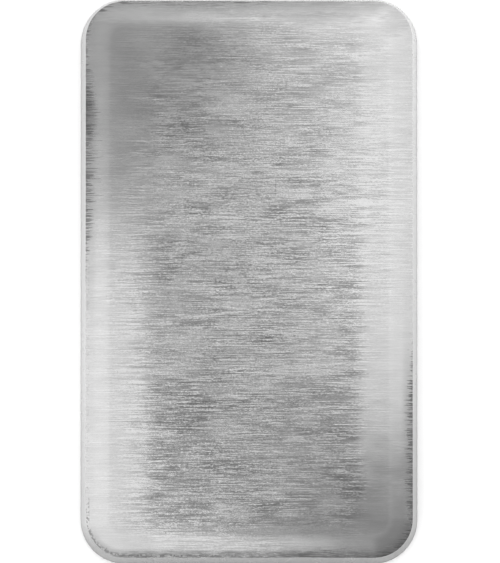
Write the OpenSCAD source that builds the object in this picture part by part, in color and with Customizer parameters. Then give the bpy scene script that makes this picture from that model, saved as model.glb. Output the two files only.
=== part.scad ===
// Metal ingot: a pressed one-kilogram silver bar with a rounded plan, lying on its plain underside.
// X runs across the bar, Y along it and Z up. The origin is the middle of the underside.

/* [Bar] */
// Length along Y, at the widest level
length = 104; // [60:1:200]
// Width along X, at the widest level
width = 62; // [40:1:120]
// Thickness from the underside to the flat of the upper face
thickness = 15.4; // [10:0.1:40]
// Radius of the four plan corners, at the widest level
corner_radius = 8.2; // [7:0.1:16]

/* [Edges] */
// Radius of the edge round the underside
lower_edge_radius = 1.5; // [0.5:0.1:3]
// How far the side wall leans in between the widest level and the level of the upper face
wall_lean = 1.2; // [0.2:0.1:2]
// Distance from the widest outline in to where the flat of the upper face ends
face_inset = 4.9; // [3:0.1:6]
// Radius of the arc in which the upper face rolls off to its crease with the side wall
roll_radius = 8.7; // [7:0.1:20]

/* [Hidden] */
$fn = 128;

straight_length = length - 2 * corner_radius;
straight_width = width - 2 * corner_radius;

// What the roll-off takes from the edge of the upper face: all outside the arc, which starts level.
module roll_off(face_edge) {
    difference() {
        translate([face_edge, thickness - roll_radius]) square([face_inset, 2 * roll_radius]);
        translate([face_edge, thickness - roll_radius]) circle(r = roll_radius);
    }
}

// Upright section of the bar's edge. It runs outwards from x = 0 to x = reach.
module edge_section(reach) {
    arc_centre = [reach - lower_edge_radius, lower_edge_radius];
    difference() {
        polygon([
            [0, 0],
            [arc_centre.x, 0],
            [reach, lower_edge_radius],
            [reach - wall_lean, thickness],
            [0, thickness]
        ]);
        roll_off(reach - face_inset);
    }
    intersection() {
        translate(arc_centre) circle(r = lower_edge_radius);
        translate([arc_centre.x, 0]) square(lower_edge_radius);
    }
}

// The section across the whole width, carried along the straight of the long sides.
module middle() {
    translate([0, straight_length / 2, 0])
        rotate([90, 0, 0])
            linear_extrude(height = straight_length) {
                edge_section(width / 2);
                mirror([1, 0]) edge_section(width / 2);
            }
}

// One end: the edge section carried along the straight of a short side.
module end_edge() {
    translate([-straight_width / 2, straight_length / 2, 0])
        rotate([90, 0, 90])
            linear_extrude(height = straight_width)
                edge_section(corner_radius);
}

// One corner: the edge section turned a quarter turn about the corner's centre.
module corner() {
    translate([straight_width / 2, straight_length / 2, 0])
        rotate_extrude(angle = 90)
            edge_section(corner_radius);
}

module ingot() {
    color("silver")
        union() {
            middle();
            for (end = [0, 1]) {
                mirror([0, end, 0]) end_edge();
                for (side = [0, 1])
                    mirror([0, end, 0]) mirror([side, 0, 0]) corner();
            }
        }
}

ingot();
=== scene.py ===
"""Pressed silver bar: its shape, its finishes and the studio that it lies in."""

import math

import bpy
from mathutils import Matrix, Vector


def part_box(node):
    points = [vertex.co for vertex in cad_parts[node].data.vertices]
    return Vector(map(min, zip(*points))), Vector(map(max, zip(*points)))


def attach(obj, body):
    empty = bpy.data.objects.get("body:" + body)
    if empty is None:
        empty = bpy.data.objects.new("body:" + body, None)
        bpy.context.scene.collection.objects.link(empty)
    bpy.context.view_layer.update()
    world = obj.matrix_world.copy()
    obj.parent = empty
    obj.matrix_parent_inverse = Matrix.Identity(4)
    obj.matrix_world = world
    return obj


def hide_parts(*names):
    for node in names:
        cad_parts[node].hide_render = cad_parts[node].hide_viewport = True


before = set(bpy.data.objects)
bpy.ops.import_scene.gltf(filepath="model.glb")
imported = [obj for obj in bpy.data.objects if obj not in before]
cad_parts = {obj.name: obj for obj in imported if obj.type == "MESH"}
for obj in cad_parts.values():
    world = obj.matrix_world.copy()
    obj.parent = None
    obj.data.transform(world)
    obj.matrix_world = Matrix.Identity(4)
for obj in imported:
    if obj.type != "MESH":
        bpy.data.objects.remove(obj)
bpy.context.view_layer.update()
LOW, HIGH = (Vector(corner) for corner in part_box("ingot"))
MM = 0.001

bl_info = {
    "name": "Pressed silver bar",
    "version": (1, 0, 0),
    "blender": (4, 5, 0),
    "location": "3D View > Sidebar > Silver bar",
    "description": "Makes a pressed silver bar with a brushed face, and the studio round it",
    "category": "Add Mesh",
}


# ---------------------------------------------------------------- sizes and colours


class BarShape(bpy.types.PropertyGroup):
    """Sizes of the bar. Its length, width and thickness come from the ingot part in model.glb."""

    corner_radius: bpy.props.FloatProperty(
        name="Corner radius",
        description="Plan radius of the four corners at the widest level",
        default=8.2 * MM,
        unit="LENGTH",
    )
    lower_edge_radius: bpy.props.FloatProperty(
        name="Lower edge radius",
        description="Radius of the edge round the underside",
        default=1.5 * MM,
        unit="LENGTH",
    )
    wall_lean: bpy.props.FloatProperty(
        name="Wall lean",
        description="How far the side wall leans in between the widest level and the upper face",
        default=1.2 * MM,
        unit="LENGTH",
    )
    face_inset: bpy.props.FloatProperty(
        name="Face inset",
        description="Distance from the widest outline in to the shoulder where the bevel starts",
        default=4.9 * MM,
        unit="LENGTH",
    )
    bevel_drop: bpy.props.FloatProperty(
        name="Bevel drop",
        description="How far the bevel round the upper face falls from its shoulder to the crease",
        default=0.6 * MM,
        unit="LENGTH",
    )
    shoulder_width: bpy.props.FloatProperty(
        name="Shoulder width",
        description="Width of the soft turn between the upper face and its bevel",
        default=1.8 * MM,
        unit="LENGTH",
    )
    ring_width: bpy.props.FloatProperty(
        name="Ring width",
        description="Width of the outer ring of the face, which sinks a little towards the crease",
        default=10.7 * MM,
        unit="LENGTH",
    )
    ring_drop: bpy.props.FloatProperty(
        name="Ring drop",
        description="How far the outer ring of the face has sunk at the crease",
        default=0.26 * MM,
        unit="LENGTH",
    )
    crown_across: bpy.props.FloatProperty(
        name="Crown across",
        description="How far the long sides have sunk below the middle of the face",
        default=0.08 * MM,
        unit="LENGTH",
    )
    crown_along: bpy.props.FloatProperty(
        name="Crown along",
        description="How far the ends have sunk below the middle of the face",
        default=0.18 * MM,
        unit="LENGTH",
    )
    twist: bpy.props.FloatProperty(
        name="Twist",
        description="How far two opposite corners of the face rise and the other two sink",
        default=0.1 * MM,
        unit="LENGTH",
    )
    wave_height: bpy.props.FloatProperty(
        name="Wave height",
        description="Height of the long shallow waves in the upper face",
        default=0.05 * MM,
        unit="LENGTH",
    )
    dent_height: bpy.props.FloatProperty(
        name="Dent height",
        description="Height of the short shallow dents in the upper face",
        default=0.006 * MM,
        unit="LENGTH",
    )
    ragged: bpy.props.FloatProperty(
        name="Ragged crease",
        description="How far the crease wanders from its true line",
        default=0.03 * MM,
        unit="LENGTH",
    )


class BarFinish(bpy.types.PropertyGroup):
    """Colour and roughness of the bar's surfaces."""

    metal: bpy.props.FloatVectorProperty(
        name="Metal",
        description="Colour of clean metal",
        default=(0.86, 0.86, 0.86),
        subtype="COLOR",
        size=3,
        min=0.0,
        max=1.0,
    )
    ring_roughness: bpy.props.FloatProperty(
        name="Ring roughness",
        description="Roughness of the smooth ring round the brushed middle of the face",
        default=0.12,
        subtype="FACTOR",
        min=0.0,
        max=1.0,
    )
    brushed_roughness: bpy.props.FloatProperty(
        name="Brushed roughness",
        description="Roughness of the brushed middle of the face",
        default=0.166,
        subtype="FACTOR",
        min=0.0,
        max=1.0,
    )
    rim_roughness: bpy.props.FloatProperty(
        name="Rim roughness",
        description="Roughness of the worn rim next to the crease",
        default=0.152,
        subtype="FACTOR",
        min=0.0,
        max=1.0,
    )
    wall_roughness: bpy.props.FloatProperty(
        name="Wall roughness",
        description="Roughness of the pressed side wall and of the underside",
        default=0.3,
        subtype="FACTOR",
        min=0.0,
        max=1.0,
    )
    # Painted shade: this tone makes the side wall's colour darker than the face's metal.
    wall_shade_tone: bpy.props.FloatProperty(
        name="Wall shade tone",
        description="Brightness of the pressed side wall, next to clean metal",
        default=0.7,
        subtype="FACTOR",
        min=0.0,
        max=1.0,
    )
    wall_glare: bpy.props.FloatProperty(
        name="Wall glare",
        description="How much the side wall reflects when it is seen along its surface",
        default=0.8,
        subtype="FACTOR",
        min=0.0,
        max=1.0,
    )
    block_tone: bpy.props.FloatProperty(
        name="Block tone",
        description="Brightness of the block that the brush has worked most, next to the middle",
        default=0.83,
        subtype="FACTOR",
        min=0.0,
        max=1.0,
    )
    middle_tone: bpy.props.FloatProperty(
        name="Middle tone",
        description="Brightness of the brushed middle of the face, next to clean metal",
        default=0.83,
        subtype="FACTOR",
        min=0.0,
        max=1.0,
    )
    round_tone: bpy.props.FloatProperty(
        name="Round tone",
        description="Brightness of the mottled round part of the face, next to the middle",
        default=0.94,
        subtype="FACTOR",
        min=0.0,
        max=1.0,
    )
    notch_darkness: bpy.props.FloatProperty(
        name="Notch darkness",
        description="How much darker than the rim the notches in it are",
        default=0.5,
        subtype="FACTOR",
        min=0.0,
        max=1.0,
    )
    rim_tone: bpy.props.FloatProperty(
        name="Rim tone",
        description="Brightness of the rim, next to clean metal",
        default=0.98,
        subtype="FACTOR",
        min=0.0,
        max=1.0,
    )
    # Painted shade: how much darker the rim's colour is where face_metal paints it as shade.
    rim_shade_tone: bpy.props.FloatProperty(
        name="Rim shade tone",
        description="Brightness of the rim where it is painted darker as shade, next to clean metal",
        default=0.75,
        subtype="FACTOR",
        min=0.0,
        max=1.0,
    )
    stroke_contrast: bpy.props.FloatProperty(
        name="Stroke contrast",
        description="How much lighter and darker than the metal the strongest strokes are",
        default=0.78,
        subtype="FACTOR",
        min=0.0,
        max=1.0,
    )
    stroke_depth: bpy.props.FloatProperty(
        name="Stroke depth",
        description="Depth of the strongest strokes",
        default=0.003 * MM,
        unit="LENGTH",
    )


class StudioSetup(bpy.types.PropertyGroup):
    """The floor, the lamps, the room and the camera."""

    floor_colour: bpy.props.FloatVectorProperty(
        name="Floor",
        description="Colour of the floor",
        default=(0.9, 0.9, 0.9),
        subtype="COLOR",
        size=3,
        min=0.0,
        max=1.0,
    )
    right_brightness: bpy.props.FloatProperty(
        name="Right softbox brightness",
        description="Brightness of the softbox on the right, which the bar reflects",
        default=0.52,
    )
    left_brightness: bpy.props.FloatProperty(
        name="Left softbox brightness",
        description="Brightness of the softbox on the left, which the bar reflects",
        default=0.49,
    )
    room_brightness: bpy.props.FloatProperty(
        name="Room brightness",
        description="Brightness of the room round the bar",
        default=0.33,
    )
    floor_brightness: bpy.props.FloatProperty(
        name="Floor lamp brightness",
        description="Brightness of the lamp that lights the floor",
        default=9.3,
    )
    camera_distance: bpy.props.FloatProperty(
        name="Camera distance",
        description="Distance from the camera to the bar's widest level",
        default=1.5,
        unit="LENGTH",
    )
    camera_tilt: bpy.props.FloatProperty(
        name="Camera tilt",
        description="How far the camera stands towards the near end from straight above",
        default=math.radians(1.95),
        subtype="ANGLE",
    )
    camera_roll: bpy.props.FloatProperty(
        name="Camera sideways tilt",
        description="How far the camera stands to the left from straight above",
        default=math.radians(0.15),
        subtype="ANGLE",
    )
    view_height: bpy.props.FloatProperty(
        name="View height",
        description="Height of the picture at the bar's widest level",
        default=103.75 * MM,
        unit="LENGTH",
    )
    view_offset: bpy.props.FloatProperty(
        name="View offset",
        description="How far right of the bar's middle the camera aims",
        default=0.19 * MM,
        unit="LENGTH",
    )


# ---------------------------------------------------------------- node trees


def wire(tree, socket, value):
    """Links an input to what feeds it, or sets it to a plain value."""
    if isinstance(value, Field):
        value = value.socket
    if isinstance(value, bpy.types.NodeSocket):
        tree.links.new(value, socket)
    else:
        socket.default_value = value


def add(tree, kind, inputs=None, **settings):
    """Adds a node with its settings, and feeds its inputs, which are given by name."""
    node = tree.nodes.new(kind)
    for name, value in settings.items():
        setattr(node, name, value)
    for name, value in (inputs or {}).items():
        wire(tree, node.inputs[name], value)
    return node


class Field:
    """A number that varies over a surface. Arithmetic on it adds Math nodes to its tree."""

    def __init__(self, tree, socket):
        self.tree = tree
        self.socket = socket

    def math(self, operation, *others):
        node = self.tree.nodes.new("ShaderNodeMath")
        node.operation = operation
        for socket, value in zip(node.inputs, (self, *others)):
            wire(self.tree, socket, value)
        return Field(self.tree, node.outputs[0])

    def __add__(self, other):
        return self.math("ADD", other)

    def __sub__(self, other):
        return self.math("SUBTRACT", other)

    def __mul__(self, other):
        return self.math("MULTIPLY", other)

    def __truediv__(self, other):
        return self.math("DIVIDE", other)

    def __neg__(self):
        return self.math("MULTIPLY", -1.0)

    def __rsub__(self, other):
        return -self + other

    def __pow__(self, other):
        return self.math("POWER", other)

    __radd__ = __add__
    __rmul__ = __mul__

    def abs(self):
        return self.math("ABSOLUTE")

    def sign(self):
        return self.math("SIGN")

    def root(self):
        return self.math("SQRT")

    def sine(self):
        return self.math("SINE")

    def cosine(self):
        return self.math("COSINE")

    def least(self, other):
        return self.math("MINIMUM", other)

    def most(self, other):
        return self.math("MAXIMUM", other)

    def over(self, limit):
        """1 where this is greater than the limit, and 0 elsewhere."""
        return self.math("GREATER_THAN", limit)

    def rise(self, start, end, low=0.0, high=1.0):
        """Goes smoothly from low to high while this goes from start to end."""
        node = add(self.tree, "ShaderNodeMapRange", interpolation_type="SMOOTHSTEP")
        for name, value in (
            ("Value", self),
            ("From Min", start),
            ("From Max", end),
            ("To Min", low),
            ("To Max", high),
        ):
            wire(self.tree, node.inputs[name], value)
        return Field(self.tree, node.outputs[0])

    def blend(self, low, high):
        """Low where this is 0, and high where it is 1."""
        return low + self * (high - low)


def vector(tree, x, y, z):
    return add(tree, "ShaderNodeCombineXYZ", {"X": x, "Y": y, "Z": z}).outputs[0]


def split(tree, socket):
    node = add(tree, "ShaderNodeSeparateXYZ", {"Vector": socket})
    return [Field(tree, output) for output in node.outputs]


def noise(tree, place, cell=1.0, detail=0.0, roughness=0.5, seed=0.0):
    """Smooth noise from 0 to 1 whose lumps are about one cell across."""
    node = add(
        tree,
        "ShaderNodeTexNoise",
        {"Vector": place, "W": seed, "Scale": 1.0 / cell, "Detail": detail, "Roughness": roughness},
        noise_dimensions="4D",
    )
    return Field(tree, node.outputs[0])


# ---------------------------------------------------------------- the bar's shape


def crease_inset(shape, thickness):
    """How far in from the widest outline the leaning wall has come at the foot of the bevel."""
    wall_height = thickness - shape.lower_edge_radius
    return shape.wall_lean * (wall_height - shape.bevel_drop - shape.ring_drop) / wall_height


BAR_INPUTS = (
    ("Half Width", "NodeSocketFloat"),
    ("Half Length", "NodeSocketFloat"),
    ("Thickness", "NodeSocketFloat"),
    ("Corner Radius", "NodeSocketFloat"),
    ("Lower Edge Radius", "NodeSocketFloat"),
    ("Crease Inset", "NodeSocketFloat"),
    ("Face Inset", "NodeSocketFloat"),
    ("Bevel Drop", "NodeSocketFloat"),
    ("Shoulder Width", "NodeSocketFloat"),
    ("Ring Width", "NodeSocketFloat"),
    ("Ring Drop", "NodeSocketFloat"),
    ("Crown Across", "NodeSocketFloat"),
    ("Crown Along", "NodeSocketFloat"),
    ("Twist", "NodeSocketFloat"),
    ("Wave Height", "NodeSocketFloat"),
    ("Dent Height", "NodeSocketFloat"),
    ("Ragged", "NodeSocketFloat"),
    ("Cells Across", "NodeSocketInt"),
    ("Cells Along", "NodeSocketInt"),
    ("Edge Cells", "NodeSocketInt"),
    ("Wall Rows", "NodeSocketInt"),
    ("Arc Rows", "NodeSocketInt"),
    ("Seed", "NodeSocketFloat"),
    ("Face Metal", "NodeSocketMaterial"),
    ("Wall Metal", "NodeSocketMaterial"),
    ("Underside Metal", "NodeSocketMaterial"),
)
STROKES = (  # length and width of a layer's strokes, and its share of the relief
    (14 * MM, 0.24 * MM, 0.48),
    (6 * MM, 0.18 * MM, 0.58),
    (2.2 * MM, 0.16 * MM, 0.45),
    (0.5 * MM, 0.18 * MM, 0.4),
)
MARKS = (  # centre across and along the bar, half length, half width, and how much lighter it is
    (8.5 * MM, 15.5 * MM, 3.5 * MM, 0.9 * MM, 0.3),
    (-2.5 * MM, -6 * MM, 2.5 * MM, 0.6 * MM, 0.25),
    (-14.5 * MM, -40.5 * MM, 2.5 * MM, 0.8 * MM, 0.2),
    (6 * MM, -37 * MM, 0.5 * MM, 0.6 * MM, 0.25),
    (18.5 * MM, -37.5 * MM, 3 * MM, 3.4 * MM, -0.3),
    (17 * MM, -28.5 * MM, 3 * MM, 1.4 * MM, -0.18),
    (8 * MM, 18 * MM, 2.8 * MM, 1.1 * MM, -0.2),
    (4.8 * MM, 16.4 * MM, 0.15 * MM, 1.5 * MM, -0.3),
    (-9.5 * MM, 12.5 * MM, 3.4 * MM, 1.6 * MM, -0.15),
    (-3 * MM, 6.5 * MM, 2.8 * MM, 1.3 * MM, -0.15),
    (-9 * MM, 23 * MM, 3 * MM, 1.2 * MM, -0.15),
    (-15 * MM, 2 * MM, 2 * MM, 4 * MM, -0.12),
    (-20 * MM, -12.5 * MM, 2.4 * MM, 1.8 * MM, -0.1),
    (5 * MM, -44.5 * MM, 9 * MM, 1 * MM, -0.12),
    (-11 * MM, -24 * MM, 5 * MM, 7 * MM, -0.18),
    (-12.5 * MM, 31 * MM, 7 * MM, 10 * MM, -0.2),
    (8 * MM, 40 * MM, 14 * MM, 6 * MM, -0.08),
    (-9 * MM, 41.5 * MM, 10 * MM, 6 * MM, -0.13),
    (17.5 * MM, 20 * MM, 4.5 * MM, 16 * MM, 0.2),
    (26 * MM, -34 * MM, 4 * MM, 5 * MM, -0.12),
    (-29.3 * MM, 30 * MM, 1.6 * MM, 5 * MM, -0.25),
    (-17 * MM, 48.3 * MM, 14 * MM, 1.8 * MM, 0.12),
    (11 * MM, 47.6 * MM, 13 * MM, 1.3 * MM, -0.18),
    (26.4 * MM, 47.2 * MM, 3 * MM, 3 * MM, -0.14),
    (12 * MM, -48 * MM, 7 * MM, 1.6 * MM, 0.12),
)

# The mesh.
GATHER = 0.6  # how much closer than evenly spaced the mesh lines stand at the crease
ON_FACE = 0.9999  # the cube is higher than this only on its upper face
SHARP_ANGLE = math.radians(30)  # an edge that turns more than this is shaded sharp
MERGE_DISTANCE = 0.001 * MM
ZONES = {"Wall Metal": 0, "Face Metal": 1, "Underside Metal": 2}  # number stored on each face

# Sizes of the lumps in the shape of the face and in the way the crease wanders.
WAVE_LENGTH = 22 * MM
DENT_LENGTH = 3 * MM
WANDER_LENGTH = 1.6 * MM  # in and out
DROP_LENGTH = 2.4 * MM  # up and down
WANDER_REACH = 0.8 * MM  # how far from the crease its wander has died away

# Edges of the parts of the face. Each part fades in or out between the two distances.
MIDDLE_LEFT = (-19.5 * MM, -16.5 * MM)
MIDDLE_RIGHT = (18.5 * MM, 21.5 * MM)
MIDDLE_NEAR = (-46 * MM, -44 * MM)
MIDDLE_FAR = (30 * MM, 46 * MM)
BLOCK_FAR = (-19 * MM, -17 * MM)  # the most brushed block lies nearer than this
ROUND_CENTRE = 1 * MM  # how far along the bar the mottled round part has its centre
ROUND_EDGE = (15 * MM, 19 * MM)

# Tones, next to clean metal, and depths of the fine relief.
PLAIN_TONE = 0.985  # of the face between its strokes
LIGHTEST_TONE = 1.16  # nothing on the face is lighter
PIT_DEPTH = 0.01 * MM
DIE_LINE_DEPTH = 0.004 * MM
UNDERSIDE_STROKE_DEPTH = 0.002 * MM
UNDERSIDE_BLOTCH_DEPTH = 0.02 * MM


def across_line(place, straight_cells, edge_cells, straight_half, edge_width):
    """Turns a cube's coordinate, from -1 to 1, into the part of it along the straight of a side and
    the part beyond that, in the band where the corners turn."""
    cells = straight_cells / 2.0 + edge_cells
    at = place.abs() * cells
    straight = at.least(straight_cells / 2.0) / (straight_cells / 2.0) * straight_half
    into = (at - straight_cells / 2.0).most(0.0) / edge_cells
    beyond = edge_width * (into + GATHER * into * (1.0 - into))
    return straight * place.sign(), beyond * place.sign()


def bar_tree():
    """Geometry Nodes for the bar: a cube's mesh is laid over the bar's shape, so that its lines
    follow the rounded outline, and the flat underside is closed by one face."""
    tree = bpy.data.node_groups.new("Pressed bar", "GeometryNodeTree")
    for name, kind in BAR_INPUTS:
        tree.interface.new_socket(name, in_out="INPUT", socket_type=kind)
    tree.interface.new_socket("Geometry", in_out="OUTPUT", socket_type="NodeSocketGeometry")
    group = add(tree, "NodeGroupInput")
    size = {name: Field(tree, group.outputs[name]) for name, _ in BAR_INPUTS}
    edge_cells = size["Edge Cells"]
    straight_x = size["Half Width"] - size["Corner Radius"]
    straight_y = size["Half Length"] - size["Corner Radius"]
    crease_radius = size["Corner Radius"] - size["Crease Inset"]

    cube = add(
        tree,
        "GeometryNodeMeshCube",
        {
            "Size": (2.0, 2.0, 2.0),
            "Vertices X": size["Cells Across"] + 2.0 * edge_cells + 1.0,
            "Vertices Y": size["Cells Along"] + 2.0 * edge_cells + 1.0,
            "Vertices Z": size["Wall Rows"] + size["Arc Rows"] + 1.0,
        },
    )
    normal = split(tree, add(tree, "GeometryNodeInputNormal").outputs[0])
    zoned = add(
        tree,
        "GeometryNodeStoreNamedAttribute",
        {"Geometry": cube.outputs["Mesh"], "Name": "zone", "Value": normal[2].over(0.5)},
        data_type="FLOAT",
        domain="FACE",
    )
    opened = add(
        tree,
        "GeometryNodeDeleteGeometry",
        {"Geometry": zoned.outputs[0], "Selection": (-normal[2]).over(0.5)},
        domain="FACE",
    )

    u, v, w = split(tree, add(tree, "GeometryNodeInputPosition").outputs[0])
    centre_x, beyond_x = across_line(u, size["Cells Across"], edge_cells, straight_x, crease_radius)
    centre_y, beyond_y = across_line(v, size["Cells Along"], edge_cells, straight_y, crease_radius)
    reach = beyond_x.abs().most(beyond_y.abs())
    away = (beyond_x**2.0 + beyond_y**2.0).root()
    out_x, out_y = beyond_x / away, beyond_y / away
    from_crease = (straight_x + crease_radius - (centre_x + beyond_x).abs()).least(
        straight_y + crease_radius - (centre_y + beyond_y).abs()
    )

    # The upper face: a bevel with a soft shoulder, a ring that sinks, a crown, waves and dents.
    bevel_width = size["Face Inset"] - size["Crease Inset"]
    shoulder = size["Shoulder Width"]
    turn = ((from_crease - bevel_width) / shoulder + 0.5).least(1.0)
    in_turn = turn.most(0.0)
    bevel = shoulder * (0.5 - turn + in_turn**3.0 - in_turn**4.0 * 0.5)
    bevel = bevel * size["Bevel Drop"] / bevel_width
    ring = size["Ring Drop"] * (1.0 - from_crease / size["Ring Width"]).most(0.0) ** 2.0
    plan_x, plan_y = centre_x + out_x * reach, centre_y + out_y * reach
    along, across = plan_y / size["Half Length"], plan_x / size["Half Width"]
    crown = size["Crown Across"] * across**2.0 + size["Crown Along"] * along**2.0
    crown = crown - size["Twist"] * across * along
    plan = vector(tree, plan_x, plan_y, 0.0)
    waves = size["Wave Height"] * noise(tree, plan, cell=WAVE_LENGTH, seed=size["Seed"])
    dents = size["Dent Height"] * noise(tree, plan, cell=DENT_LENGTH, seed=size["Seed"] + 1.0)

    face_height = size["Thickness"] - bevel - ring - crown - waves - dents

    # The side: a leaning wall and then a quarter circle down to the underside.
    row = (1.0 - w) / 2.0 * (size["Wall Rows"] + size["Arc Rows"])
    down_wall = (row / size["Wall Rows"]).least(1.0)
    quarter = ((row - size["Wall Rows"]) / size["Arc Rows"]).most(0.0) * (math.pi / 2)
    low_radius = size["Lower Edge Radius"]
    # On the side, plan_x and plan_y lie on the crease, so face_height is the height of its top.
    wall_height = down_wall.blend(face_height, low_radius) - low_radius * quarter.sine()
    wall_inset = (1.0 - down_wall) * size["Crease Inset"] + low_radius * (1.0 - quarter.cosine())

    on_face = w.over(ON_FACE)
    height = on_face.blend(wall_height, face_height)
    plan_reach = on_face.blend(size["Corner Radius"] - wall_inset, reach)
    level = vector(tree, centre_x + out_x * plan_reach, centre_y + out_y * plan_reach, height)

    # The crease wanders, in and out and up and down, and the wander dies away close to it.
    below = (face_height - wall_height).most(0.0)
    near = (1.0 - on_face.blend(below, from_crease) / WANDER_REACH).most(0.0)
    rugged = {"detail": 2.0, "roughness": 0.6}
    wander = noise(tree, level, cell=WANDER_LENGTH, seed=size["Seed"] + 2.0, **rugged)
    drop = noise(tree, level, cell=DROP_LENGTH, seed=size["Seed"] + 3.0, **rugged)
    in_out = near * size["Ragged"] * (wander - 0.5) * 2.0
    down = near * size["Ragged"] * (drop - 0.4)
    moved = vector(
        tree,
        centre_x + out_x * (plan_reach + in_out),
        centre_y + out_y * (plan_reach + in_out),
        height - down,
    )
    # The face's metal reads this field, so it is stored before the mesh takes its shape.
    marked = add(
        tree,
        "GeometryNodeStoreNamedAttribute",
        {"Geometry": opened.outputs[0], "Name": "from_crease", "Value": from_crease},
        data_type="FLOAT",
        domain="POINT",
    )
    shaped = add(
        tree,
        "GeometryNodeSetPosition",
        {"Geometry": marked.outputs[0], "Position": moved},
    )

    # The open ring at the bottom becomes a curve, and the curve one flat face that looks down.
    ring_edge = add(
        tree,
        "FunctionNodeCompare",
        {0: add(tree, "GeometryNodeInputMeshEdgeNeighbors").outputs[0], 1: 1.0},
        operation="EQUAL",
    )
    loop = add(
        tree,
        "GeometryNodeMeshToCurve",
        {"Mesh": shaped.outputs[0], "Selection": ring_edge.outputs[0]},
    )
    fill = add(tree, "GeometryNodeFillCurve", {"Curve": loop.outputs[0]}, mode="NGONS")
    underside = add(
        tree,
        "GeometryNodeStoreNamedAttribute",
        {
            "Geometry": add(tree, "GeometryNodeFlipFaces", {"Mesh": fill.outputs[0]}).outputs[0],
            "Name": "zone",
            "Value": float(ZONES["Underside Metal"]),
        },
        data_type="FLOAT",
        domain="FACE",
    )
    joined = add(tree, "GeometryNodeJoinGeometry")
    tree.links.new(shaped.outputs[0], joined.inputs[0])
    tree.links.new(underside.outputs[0], joined.inputs[0])
    closed = add(
        tree,
        "GeometryNodeMergeByDistance",
        {"Geometry": joined.outputs[0], "Distance": MERGE_DISTANCE},
    )
    smooth = add(tree, "GeometryNodeSetShadeSmooth", {"Geometry": closed.outputs[0]})
    edge_angle = Field(tree, add(tree, "GeometryNodeInputMeshEdgeAngle").outputs[0])
    creased = add(
        tree,
        "GeometryNodeSetShadeSmooth",
        {
            "Geometry": smooth.outputs[0],
            "Selection": edge_angle.over(SHARP_ANGLE),
            "Shade Smooth": False,
        },
        domain="EDGE",
    )
    stored = add(tree, "GeometryNodeInputNamedAttribute", {"Name": "zone"}, data_type="FLOAT")
    zone = Field(tree, stored.outputs[0])
    # The underside is one large face, so it is shaded flat, whatever its edges lean to.
    flat = add(
        tree,
        "GeometryNodeSetShadeSmooth",
        {
            "Geometry": creased.outputs[0],
            "Selection": zone.over(ZONES["Underside Metal"] - 0.5),
            "Shade Smooth": False,
        },
        domain="FACE",
    )
    last = add(tree, "GeometryNodeRealizeInstances", {"Geometry": flat.outputs[0]})
    for name, number in ZONES.items():
        # The wall's metal goes on every face first, and the other two over it.
        last = add(
            tree,
            "GeometryNodeSetMaterial",
            {"Geometry": last.outputs[0], "Material": size[name]},
        )
        if number:
            wire(tree, last.inputs["Selection"], zone.over(number - 0.5))
    tree.links.new(last.outputs[0], add(tree, "NodeGroupOutput").inputs[0])
    return tree


def made_by_nodes(name, tree, values):
    """A plain mesh object: what a Geometry Nodes tree gives with these input values."""
    maker = bpy.data.objects.new(name + "_maker", bpy.data.meshes.new(name + "_maker"))
    bpy.context.scene.collection.objects.link(maker)
    modifier = maker.modifiers.new("Shape", "NODES")
    modifier.node_group = tree
    for item in tree.interface.items_tree:
        if item.in_out == "INPUT":
            modifier[item.identifier] = values[item.name]
    made = maker.evaluated_get(bpy.context.evaluated_depsgraph_get())
    mesh = bpy.data.meshes.new_from_object(made)
    maker.modifiers.remove(modifier)
    bpy.data.objects.remove(maker)
    mesh.name = name
    if mesh.materials[0] is None:
        mesh.materials.pop(index=0)
    piece = bpy.data.objects.new(name, mesh)
    bpy.context.scene.collection.objects.link(piece)
    return piece


# ---------------------------------------------------------------- materials


def new_material(name):
    """A plain material, with its node tree and its Principled BSDF."""
    material = bpy.data.materials.new(name)
    material.use_nodes = True
    tree = material.node_tree
    return material, tree, tree.nodes["Principled BSDF"]


def effect_group(name, inputs, outputs):
    """An empty shader node group with float inputs and outputs, and a place to work in."""
    group = bpy.data.node_groups.new(name, "ShaderNodeTree")
    group.interface.new_socket("Place", in_out="INPUT", socket_type="NodeSocketVector")
    for title, value in inputs.items():
        socket = group.interface.new_socket(title, in_out="INPUT", socket_type="NodeSocketFloat")
        socket.default_value = value
    for title in outputs:
        group.interface.new_socket(title, in_out="OUTPUT", socket_type="NodeSocketFloat")
    start = add(group, "NodeGroupInput")
    end = add(group, "NodeGroupOutput")
    given = {title: Field(group, start.outputs[title]) for title in inputs}
    return group, start.outputs["Place"], given, end


def stroke_group():
    """Brush strokes that run along X: long thin lumps, mostly from -1 to 1, whose lines wander."""
    group, place, given, end = effect_group(
        "Brush strokes",
        {"Length": 6 * MM, "Width": 0.35 * MM, "Wander": 0.15 * MM, "Seed": 0.0},
        ["Stroke"],
    )
    x, y, z = split(group, place)
    bend = noise(group, vector(group, x / (9 * MM), y / (4 * MM), z), seed=given["Seed"] + 5.0)
    y = y + (bend - 0.5) * given["Wander"] * 2.0
    lumps = noise(
        group,
        vector(group, x / given["Length"], y / given["Width"], z),
        detail=1.0,
        roughness=0.6,
        seed=given["Seed"],
    )
    lump = (lumps - 0.5) * 9.0
    wire(group, end.inputs["Stroke"], lump * (lump.abs() * 0.5 + 0.55))
    return group


def pit_group():
    """Small round pits here and there: 1 inside a pit and 0 elsewhere."""
    group, place, given, end = effect_group(
        "Pits", {"Spacing": 2.2 * MM, "Radius": 0.14 * MM, "Share": 0.25}, ["Pit"]
    )
    cells = add(
        group, "ShaderNodeTexVoronoi", {"Vector": place, "Scale": given["Spacing"] ** -1.0}
    )
    distance = Field(group, cells.outputs["Distance"]) * given["Spacing"]
    chance = split(group, cells.outputs["Color"])[0]
    radius = given["Radius"] * (0.5 + chance / given["Share"] * 0.5)
    pit = distance.rise(radius * 0.6, radius, 1.0, 0.0) * (given["Share"] - chance).over(0.0)
    wire(group, end.inputs["Pit"], pit)
    return group


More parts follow.
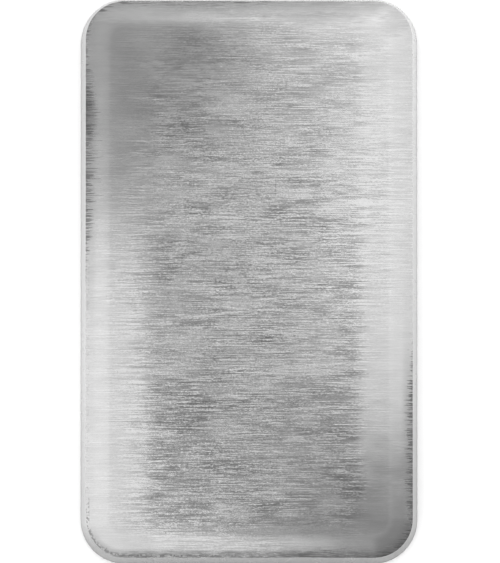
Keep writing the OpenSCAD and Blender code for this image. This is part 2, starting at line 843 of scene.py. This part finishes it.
def mark_group():
    """One mark whose ends fray along the strokes: 1 inside it and 0 elsewhere."""
    group, place, given, end = effect_group(
        "Mark", {"X": 0.0, "Y": 0.0, "Half Length": 2 * MM, "Half Width": 1 * MM}, ["Mark"]
    )
    x, y, _ = split(group, place)
    fray = noise(group, vector(group, x / (2 * MM), y / (0.3 * MM), 0.0), detail=1.0, seed=31.0)
    along = (x - given["X"]) / given["Half Length"]
    across = (y - given["Y"]) / given["Half Width"]
    away = (along**2.0 + across**2.0).root() + (fray - 0.5) * 1.5
    wire(group, end.inputs["Mark"], away.rise(0.4, 1.2, 1.0, 0.0))
    return group


def placed(tree, group, place, **values):
    """The first output of an effect's group, with its inputs given by name."""
    node = add(tree, "ShaderNodeGroup", node_tree=group)
    wire(tree, node.inputs["Place"], place)
    for title, value in values.items():
        wire(tree, node.inputs[title.replace("_", " ").title()], value)
    return Field(tree, node.outputs[0])


def shaded(tree, colour, tone):
    """A plain colour times a tone that varies."""
    node = add(tree, "ShaderNodeVectorMath", {0: tuple(colour)}, operation="SCALE")
    wire(tree, node.inputs["Scale"], tone)
    return node.outputs[0]


def dress(tree, shader, colour, roughness, height):
    """Makes a shader metal, and gives it its colour, its roughness and its fine relief."""
    tree.links.new(colour, shader.inputs["Base Color"])
    wire(tree, shader.inputs["Roughness"], roughness)
    bump = add(tree, "ShaderNodeBump", {"Height": height, "Strength": 1.0, "Distance": 1.0})
    tree.links.new(bump.outputs[0], shader.inputs["Normal"])
    shader.inputs["Metallic"].default_value = 1.0


def attribute(tree, title):
    return Field(tree, add(tree, "ShaderNodeAttribute", attribute_name=title).outputs["Fac"])


def face_metal(finish, groups):
    """The upper face: brushed in the middle, smoother round it, and worn at its rim, which is also
    painted darker in places, as shade.
    """
    material, tree, shader = new_material("silver_brushed_face")
    place = add(tree, "ShaderNodeTexCoord").outputs["Object"]
    x, y, _ = split(tree, place)
    rim = attribute(tree, "from_crease")

    def streaks(length, width, seed, detail=2.0):
        """Noise from -0.5 to 0.5, drawn out along the strokes."""
        spot = vector(tree, x / length, y / width, 0.0)
        return noise(tree, spot, detail=detail, roughness=0.6, seed=seed) - 0.5

    # How strongly the face is brushed: fully in the middle, less towards the sides and the ends.
    ends = x + streaks(30 * MM, 0.5 * MM, 7.0) * 7 * MM
    right = ends.rise(18 * MM, 22 * MM, 1.0, y.rise(-15 * MM, 25 * MM, 0.08, 0.5))
    sides = ends.rise(-24 * MM, -12 * MM, 0.12, 1.0) * right
    sides = sides * x.rise(-14 * MM, -2 * MM, 0.95, 1.4) * x.rise(1 * MM, 10 * MM, 1.0, 0.44)
    sides = sides * rim.rise(3 * MM, 5.5 * MM, 0.4, 1.0)
    far_and_near = y.rise(10 * MM, 42 * MM, 1.0, 0.3) * y.rise(43 * MM, 47 * MM, 1.0, 0.4)
    far_and_near = far_and_near * y.rise(-47.5 * MM, -44 * MM, 0.4, 1.0)
    far_and_near = far_and_near * y.rise(-20 * MM, -5 * MM, 1.0, 1.25)
    uneven = streaks(9 * MM, 1.6 * MM, 6.0).rise(-0.2, 0.2, 0.55, 1.5)
    strength = sides * far_and_near * uneven * finish.stroke_contrast

    # The brushed middle is rougher than the smooth ring round it. Its nearer part is a block that
    # the brush has worked most, and the round part beyond it is mottled.
    inside = ends.rise(*MIDDLE_LEFT) * ends.rise(*MIDDLE_RIGHT, 1.0, 0.0) * y.rise(*MIDDLE_NEAR)
    middle = inside * y.rise(*MIDDLE_FAR, 1.0, 0.25)
    block = inside * y.rise(*BLOCK_FAR, 1.0, 0.0)
    from_centre = (x**2.0 + (y - ROUND_CENTRE) ** 2.0).root()
    from_centre = from_centre + streaks(4 * MM, 1.5 * MM, 15.0) * 6 * MM
    mottled = from_centre.rise(*ROUND_EDGE, 1.0, 0.0) * (1.0 - block)

    brushed = 0.0
    for number, (length, width, share) in enumerate(STROKES):
        layer = placed(
            tree, groups["strokes"], place, length=length, width=width, seed=number + 1.0
        )
        brushed = layer * share + brushed
    pebble = streaks(1.1 * MM, 0.5 * MM, 9.0, detail=3.0) * 5.0
    patch = streaks(8 * MM, 5 * MM, 8.0).rise(-0.02, 0.1) * mottled
    relief = patch.blend(brushed, brushed * 0.6 + pebble * 0.5) * strength
    scratches = streaks(9 * MM, 0.17 * MM, 23.0, detail=0.0).rise(0.12, 0.26) * strength

    blotches = noise(tree, place, cell=7 * MM, detail=3.0, seed=10.0) - 0.5
    smears = streaks(11 * MM, 1.3 * MM, 13.0) * 0.3 + streaks(9 * MM, 3 * MM, 14.0) * 1.1
    smears = smears * middle.blend(0.25, 1.0) + streaks(2.5 * MM, 1.5 * MM, 16.0) * mottled * 0.5
    for across, along, half_length, half_width, lighter in MARKS:
        mark = placed(
            tree,
            groups["marks"],
            place,
            x=across,
            y=along,
            half_length=half_length,
            half_width=half_width,
        )
        smears = mark * lighter + smears

    # The brush has cut short dark notches into the rim, deeper on the left, and the rim is pocked.
    far_end = (HIGH.y - LOW.y) / 2
    # These masks set where the notches bite, and also where the rim is painted darker, as shade: on
    # the left towards the far end, on the right in the near half, at the near end and at the far
    # end's left.
    left_wear_and_shade = y.rise(-4 * MM, 20 * MM) * y.rise(32 * MM, 42 * MM, 1.0, 0.35)
    side_wear_and_shade = x.rise(4 * MM, 12 * MM).blend(left_wear_and_shade, y.rise(-26 * MM, -8 * MM, 1.0, 0.0))
    near_rim_shade = (y + far_end).rise(2 * MM, 8 * MM, 1.0, 0.0)
    far_rim_shade = (far_end - y).rise(2 * MM, 6 * MM, x.rise(-10 * MM, 15 * MM, 0.5, 0.0), 0.0)
    bite = x.rise(0.0, 20 * MM, 14 * MM, 8 * MM)
    teeth = (streaks(4 * MM, 0.19 * MM, 17.0, detail=1.0) + 0.06).most(0.0) * side_wear_and_shade * bite
    notch = ((teeth - rim) / (0.4 * MM)).least(1.0).most(0.0)
    end_share = y.rise(-20 * MM, 20 * MM, 1.0, 0.15)
    at_end = (y.abs() - 0.94 * far_end).rise(0.0, 2 * MM, 0.0, end_share)
    dashes = streaks(2.5 * MM, 0.3 * MM, 18.0).rise(-0.1, 0.15)
    dashes = dashes * rim.rise(0.9 * MM, 1.9 * MM, 1.0, 0.0)
    notch = notch.most(dashes * at_end)
    corner = x.rise(-29 * MM, -20 * MM, 1.0, 0.0) * y.rise(-48 * MM, -40 * MM, 1.0, 0.0)
    specks = (noise(tree, place, cell=0.45 * MM, seed=19.0) + corner * 0.18).rise(0.52, 0.66)
    line = rim.rise(0.1 * MM, 0.25 * MM) * rim.rise(0.4 * MM, 0.9 * MM, 1.0, 0.0)
    specks = specks * line * x.rise(-15 * MM, 5 * MM, 0.9, 0.35)
    specks = specks * y.rise(-44 * MM, -34 * MM, 1.0, 0.2)
    notch = notch.most(specks)

    pits = placed(tree, groups["pits"], place)
    glints = placed(tree, groups["pits"], place, spacing=1.7 * MM, radius=0.09 * MM, share=0.12)
    rough_rim = rim.rise(1.0 * MM, 2.2 * MM, 1.0, 0.0)
    # Painted shade: where the masks above say, the rim is painted darker; its rough rim tone and
    # its notches darken it as well.
    rim_shade_and_wear = side_wear_and_shade.most(far_rim_shade) * rim.rise(0.3 * MM, 2.6 * MM, 1.0, 0.0)
    rim_shade_and_wear = rim_shade_and_wear.most(near_rim_shade * rim.rise(0.8 * MM, 1.8 * MM, 1.0, 0.0))
    rim_shade_and_wear = rim_shade_and_wear.blend(1.0, finish.rim_shade_tone) * rough_rim.blend(1.0, finish.rim_tone)
    rim_shade_and_wear = rim_shade_and_wear * (1.0 - notch * finish.notch_darkness)

    # A light stroke stands out more the stronger it is, and a dark one less.
    light = relief.most(0.0)
    dark = relief.least(0.0)
    lines = light * (light * 2.0 + 1.2) + dark / (1.1 - dark * 2.6) + scratches * 0.4
    tone = PLAIN_TONE + lines + blotches * 0.14 + smears - pits * 0.3 + glints * 0.15
    tone = tone * rim_shade_and_wear * middle.blend(1.0, finish.middle_tone)
    tone = tone * block.blend(1.0, finish.block_tone) * mottled.blend(1.0, finish.round_tone)

    roughness = middle.blend(finish.ring_roughness, finish.brushed_roughness)
    roughness = roughness + blotches * 0.1 - relief * 0.12
    roughness = rough_rim.blend(roughness, finish.rim_roughness) + notch * 0.1
    height = relief * finish.stroke_depth - (pits + notch) * PIT_DEPTH
    colour = shaded(tree, finish.metal, tone.least(LIGHTEST_TONE))
    dress(tree, shader, colour, roughness, height)
    return material


def wall_metal(finish, groups):
    """The side wall: satin, with faint lines from the die, and painted light and shade: darker at
    its foot and near end, and lighter at two opposite corners.
    """
    material, tree, shader = new_material("silver_side_wall")
    place = add(tree, "ShaderNodeTexCoord").outputs["Object"]
    x, y, z = split(tree, place)
    spot = vector(tree, x / (0.5 * MM), y / (0.5 * MM), z / (9 * MM))
    drawn = noise(tree, spot, detail=2.0, seed=11.0) - 0.5
    blotches = noise(tree, place, cell=4 * MM, detail=3.0, seed=12.0) - 0.5
    pits = placed(tree, groups["pits"], place, spacing=3 * MM, share=0.15)

    # Painted light and shade: two opposite corners are painted lighter than the other two, and the
    # near end and the foot are painted dark, as shade.
    painted_light_and_shade = 1.0 + x * y * 0.2 / (HIGH.x * HIGH.y)
    painted_light_and_shade = painted_light_and_shade * y.rise(-44 * MM, -12 * MM, 0.78, 1.0)
    painted_light_and_shade = painted_light_and_shade * y.rise(-50 * MM, -43 * MM, 0.52, 1.0)
    painted_light_and_shade = painted_light_and_shade * z.rise(2.5 * MM, 5 * MM, 0.75, 1.0)

    # The whole wall is also painted darker than the face, as shade.
    tone = (1.0 + blotches * 0.1 + drawn * 0.16 - pits * 0.2) * painted_light_and_shade * finish.wall_shade_tone
    roughness = finish.wall_roughness + blotches * 0.12 + drawn * 0.15
    height = drawn * DIE_LINE_DEPTH - pits * PIT_DEPTH
    dress(tree, shader, shaded(tree, finish.metal, tone), roughness, height)
    shader.inputs["Specular Tint"].default_value = (finish.wall_glare,) * 3 + (1.0,)
    return material


def underside_metal(finish, groups):
    """The plain underside: satin, with blotches, pits and faint strokes."""
    material, tree, shader = new_material("silver_underside")
    place = add(tree, "ShaderNodeTexCoord").outputs["Object"]
    blotches = noise(tree, place, cell=6 * MM, detail=4.0, seed=21.0) - 0.5
    strokes = placed(tree, groups["strokes"], place, length=12 * MM, width=0.4 * MM, seed=22.0)
    pits = placed(tree, groups["pits"], place, spacing=3 * MM, share=0.3)
    tone = 1.0 + blotches * 0.16 + strokes * 0.05 - pits * 0.25
    roughness = finish.wall_roughness + blotches * 0.2 + strokes * 0.04
    height = strokes * UNDERSIDE_STROKE_DEPTH + blotches * UNDERSIDE_BLOTCH_DEPTH
    height = height - pits * PIT_DEPTH
    dress(tree, shader, shaded(tree, finish.metal, tone), roughness, height)
    return material


# ---------------------------------------------------------------- operators


class INGOT_OT_make_bar(bpy.types.Operator):
    """Makes the bar's mesh and its finishes, in place of the plain solid"""

    bl_idname = "ingot.make_bar"
    bl_label = "Make the bar"

    def execute(self, context):
        shape = context.scene.bar_shape
        finish = context.scene.bar_finish
        groups = {"strokes": stroke_group(), "pits": pit_group(), "marks": mark_group()}
        thickness = HIGH.z - LOW.z
        values = {
            "Half Width": (HIGH.x - LOW.x) / 2,
            "Half Length": (HIGH.y - LOW.y) / 2,
            "Thickness": thickness,
            "Corner Radius": shape.corner_radius,
            "Lower Edge Radius": shape.lower_edge_radius,
            "Crease Inset": crease_inset(shape, thickness),
            "Face Inset": shape.face_inset,
            "Bevel Drop": shape.bevel_drop,
            "Shoulder Width": shape.shoulder_width,
            "Ring Width": shape.ring_width,
            "Ring Drop": shape.ring_drop,
            "Crown Across": shape.crown_across,
            "Crown Along": shape.crown_along,
            "Twist": shape.twist,
            "Wave Height": shape.wave_height,
            "Dent Height": shape.dent_height,
            "Ragged": shape.ragged,
            "Cells Across": 60,
            "Cells Along": 480,
            "Edge Cells": 24,
            "Wall Rows": 18,
            "Arc Rows": 6,
            "Seed": 4.0,
            "Face Metal": face_metal(finish, groups),
            "Wall Metal": wall_metal(finish, groups),
            "Underside Metal": underside_metal(finish, groups),
        }
        bar = made_by_nodes("silver_bar", bar_tree(), values)
        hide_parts("ingot")
        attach(bar, "root")
        return {"FINISHED"}


RIGHT_SOFTBOX = {"place": (0.187, 0.143, 0.52), "width": 0.39, "height": 0.35}
LEFT_SOFTBOX = {"place": (-0.244, -0.206, 0.63), "width": 0.54, "height": 0.53}
FLOOR_LAMP = {"place": (0, 0, 1.6), "width": 1.0, "height": 1.0}
FLOOR_HALF = 3.0
FLOOR_LEVEL = -0.02 * MM

# The room's light. A direction's height is 0 level with the bar and 1 straight above it.
MORE_LEFT = 0.38  # how much brighter the room is to the left
MORE_FAR = 0.64  # how much brighter it is beyond the far end
OVERHEAD = (0.986, 1.0)  # heights between which it sinks to the tone straight above
OVERHEAD_TONE = 0.75
LOW_BAND = (0.5, 0.58)  # heights between which it changes to the light low down
LOW_LIGHT = 1.0  # the even part of the light low down
LOW_SLOPE = 0.6  # the share of the uneven light above that is added to it


def make_floor(setup):
    """A wide pale floor, a hair below the bar, so that the two never share a plane."""
    mesh = bpy.data.meshes.new("floor")
    outline = ((-1, -1), (1, -1), (1, 1), (-1, 1))
    corners = [(x * FLOOR_HALF, y * FLOOR_HALF, FLOOR_LEVEL) for x, y in outline]
    mesh.from_pydata(corners, [], [(0, 1, 2, 3)])
    floor = bpy.data.objects.new("floor", mesh)
    bpy.context.scene.collection.objects.link(floor)
    material, tree, shader = new_material("floor_paper")
    grain = noise(tree, add(tree, "ShaderNodeTexCoord").outputs["Object"], cell=2 * MM, detail=2.0)
    colour = shaded(tree, setup.floor_colour, 1.0 + (grain - 0.5) * 0.02)
    tree.links.new(colour, shader.inputs["Base Color"])
    shader.inputs["Roughness"].default_value = 0.9
    shader.inputs["Specular IOR Level"].default_value = 0.1
    mesh.materials.append(material)


def facing(back):
    """A turn that points local Z along back, and local Y as nearly along the bar as it can."""
    across = Vector((0, 1, 0)).cross(back).normalized()
    return Matrix((across, back.cross(across), back)).transposed()


def make_softbox(name, brightness, place, width, height, on_metal=True):
    """A rectangular lamp that looks at the bar and that the camera doesn't see. Metal reflects it
    unless on_metal is false."""
    lamp = bpy.data.lights.new(name, "AREA")
    lamp.shape = "RECTANGLE"
    lamp.size = width
    lamp.size_y = height
    # This power gives the lamp's surface its brightness, whatever its size.
    lamp.energy = brightness * math.pi * width * height
    holder = bpy.data.objects.new(name, lamp)
    holder.location = place
    holder.rotation_euler = facing(Vector(place).normalized()).to_euler()
    holder.visible_camera = False
    holder.visible_glossy = on_metal
    bpy.context.scene.collection.objects.link(holder)


def make_room(scene, setup):
    """A dim room round the bar: darker straight above, where the camera is, lighter and more even
    low down, and brighter to the left and beyond the far end."""
    world = bpy.data.worlds.new("studio")
    world.use_nodes = True
    tree = world.node_tree
    x, y, z = split(tree, add(tree, "ShaderNodeTexCoord").outputs["Generated"])
    slope = 1.0 - x * MORE_LEFT + y * MORE_FAR
    above = slope * z.rise(*OVERHEAD, 1.0, OVERHEAD_TONE)
    low_down = slope * LOW_SLOPE + LOW_LIGHT
    strength = z.rise(*LOW_BAND).blend(low_down, above) * setup.room_brightness
    wire(tree, tree.nodes["Background"].inputs["Strength"], strength)
    tree.nodes["Background"].inputs["Color"].default_value = (1.0, 1.0, 1.0, 1.0)
    scene.world = world


def make_camera(scene, setup):
    """A long lens almost straight above the bar."""
    camera = bpy.data.cameras.new("camera")
    camera.lens = camera.sensor_width * setup.camera_distance / setup.view_height
    camera.clip_start = 0.1
    camera.clip_end = 10.0
    holder = bpy.data.objects.new("camera", camera)
    aim = Vector((setup.view_offset, 0, scene.bar_shape.lower_edge_radius))
    to_camera = Vector((-math.tan(setup.camera_roll), -math.tan(setup.camera_tilt), 1)).normalized()
    holder.location = aim + to_camera * setup.camera_distance
    holder.rotation_euler = facing(to_camera).to_euler()
    scene.collection.objects.link(holder)
    scene.camera = holder


class INGOT_OT_make_studio(bpy.types.Operator):
    """Makes the floor, the lamps, the room and the camera"""

    bl_idname = "ingot.make_studio"
    bl_label = "Make the studio"

    def execute(self, context):
        setup = context.scene.studio_setup
        make_floor(setup)
        make_softbox("right_softbox", setup.right_brightness, **RIGHT_SOFTBOX)
        make_softbox("left_softbox", setup.left_brightness, **LEFT_SOFTBOX)
        make_softbox("floor_lamp", setup.floor_brightness, **FLOOR_LAMP, on_metal=False)
        make_room(context.scene, setup)
        make_camera(context.scene, setup)
        context.scene.view_settings.view_transform = "Standard"
        return {"FINISHED"}


class INGOT_PT_panel(bpy.types.Panel):
    """Lists the bar's and the studio's sizes, and the operators that make them"""

    bl_idname = "INGOT_PT_panel"
    bl_label = "Silver bar"
    bl_space_type = "VIEW_3D"
    bl_region_type = "UI"
    bl_category = "Silver bar"

    def draw(self, context):
        scene = context.scene
        for group, operator in (
            (scene.bar_shape, None),
            (scene.bar_finish, INGOT_OT_make_bar),
            (scene.studio_setup, INGOT_OT_make_studio),
        ):
            for name in group.__annotations__:
                self.layout.prop(group, name)
            if operator:
                self.layout.operator(operator.bl_idname)


CLASSES = (
    BarShape,
    BarFinish,
    StudioSetup,
    INGOT_OT_make_bar,
    INGOT_OT_make_studio,
    INGOT_PT_panel,
)
SETTINGS = {"bar_shape": BarShape, "bar_finish": BarFinish, "studio_setup": StudioSetup}


def register():
    for each in CLASSES:
        bpy.utils.register_class(each)
    for name, group in SETTINGS.items():
        setattr(bpy.types.Scene, name, bpy.props.PointerProperty(type=group))


def unregister():
    for name in SETTINGS:
        delattr(bpy.types.Scene, name)
    for each in reversed(CLASSES):
        bpy.utils.unregister_class(each)


def main():
    register()
    bpy.ops.ingot.make_bar()
    bpy.ops.ingot.make_studio()


if __name__ == "__main__":
    main()
